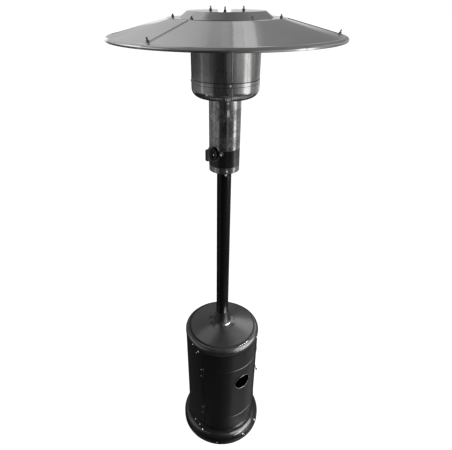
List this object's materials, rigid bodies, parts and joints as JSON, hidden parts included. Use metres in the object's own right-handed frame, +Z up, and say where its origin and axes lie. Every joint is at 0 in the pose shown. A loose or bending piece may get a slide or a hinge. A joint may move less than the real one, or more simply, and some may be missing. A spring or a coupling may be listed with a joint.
{
  "type": "patio heater",
  "caption": "Free-standing gas patio heater with a round base, tank housing with hinged door, post, burner column with knob and igniter, and a dish reflector.",
  "frame": {"origin": "on the floor, on the axis of the base, post and reflector", "axes": "+Z up along the post, -Y towards the front between the knob and the door, +X to the right"},
  "size_m": [0.813, 0.813, 2.1831],
  "materials": {
    "black_coat": "gloss powder coat",
    "frame_coat": "satin powder coat",
    "plated_steel": "zinc plated",
    "stainless": "polished with fine lines",
    "burner_steel": "heat-dulled steel",
    "brass": "machined",
    "panel_black": "gloss black",
    "knob_plastic": "moulded",
    "switch_plastic": "moulded",
    "ceramic": null,
    "reflector_sheet": "satin sheet"
  },
  "bodies": {
    "heater": {"base_pan": "black_coat", "base_screws": "plated_steel", "support_leg_1": "frame_coat", "support_leg_2": "frame_coat", "support_leg_3": "frame_coat", "leg_base_bolts": "plated_steel", "leg_post_bolts": "plated_steel", "post_foot": "frame_coat", "post_tube": "black_coat", "gas_supply_pipe": "brass", "gas_inlet_fitting": "brass", "post_top_bolts": "plated_steel", "housing_shell": "black_coat", "housing_cover": "black_coat", "cover_screws": "plated_steel", "hinge_fixed_leaves": "black_coat", "hinge_pins": "plated_steel", "hinge_screws": "plated_steel", "latch_keeper": "plated_steel", "column_collar": "stainless", "column_lower_sleeve": "stainless", "column_upper_sleeve": "stainless", "control_panel": "panel_black", "column_screws": "plated_steel", "valve_body": "brass", "valve_bonnet": "brass", "igniter_housing": "plated_steel", "tilt_switch": "switch_plastic", "gas_jet": "brass", "burner_tube": "burner_steel", "burner_head": "burner_steel", "pilot_bracket": "burner_steel", "pilot_burner": "brass", "thermocouple": "brass", "igniter_electrode": "ceramic", "burner_bowl": "stainless", "bowl_screws": "plated_steel", "emitter_screen": "stainless", "emitter_cap": "stainless", "reflector_spacers": "plated_steel", "reflector_studs": "plated_steel", "stud_nuts": "plated_steel", "reflector_hat": "reflector_sheet", "reflector_panel_1": "reflector_sheet", "reflector_panel_2": "reflector_sheet", "reflector_panel_3": "reflector_sheet", "reflector_bolts": "plated_steel", "reflector_nuts": "plated_steel"},
    "door": {"door_panel": "black_coat", "door_hole_trim": "black_coat", "hinge_door_leaves": "black_coat", "latch_base": "plated_steel", "latch_pin": "plated_steel"},
    "latch_lever": {"latch_lever": "black_coat"},
    "latch_bail": {"latch_bail": "plated_steel"},
    "valve_plug": {"valve_plug": "brass"},
    "knob": {"control_knob": "knob_plastic", "valve_spindle": "plated_steel"},
    "igniter_button": {"igniter_button": "plated_steel"}
  },
  "joints": [
    {"name": "door_swing", "type": "hinge", "parent": "heater", "child": "door", "pos_m": [-0.09485, -0.169, 0.392], "axis": [0, 0, -1], "range_deg": [0, 110]},
    {"name": "latch_open", "type": "hinge", "parent": "door", "child": "latch_lever", "pos_m": [0.19436, 0.02762, 0.392], "axis": [0, 0, 1], "range_deg": [0, 150]},
    {"name": "bail_swing", "type": "hinge", "parent": "latch_lever", "child": "latch_bail", "pos_m": [0.19377, 0.02139, 0.392], "axis": [0, 0, 1], "range_deg": [-150, 0]},
    {"name": "valve_turn", "type": "hinge", "parent": "heater", "child": "valve_plug", "pos_m": [0, 0, 1.6905], "axis": [-0.7193, -0.6947, 0], "range_deg": [0, 190]},
    {"name": "knob_push", "type": "slide", "parent": "valve_plug", "child": "knob", "axis": [0.7193, 0.6947, 0], "range_m": [0, 0.003], "stiffness_N_per_m": 500, "springref_m": -0.004},
    {"name": "igniter_push", "type": "slide", "parent": "heater", "child": "igniter_button", "axis": [0.1736, 0.9848, 0], "range_m": [0, 0.006], "stiffness_N_per_m": 1000, "springref_m": -0.004}
  ],
  "couplings": [
    {"joint": "bail_swing", "follows": "latch_open", "ratio": -1}
  ]
}
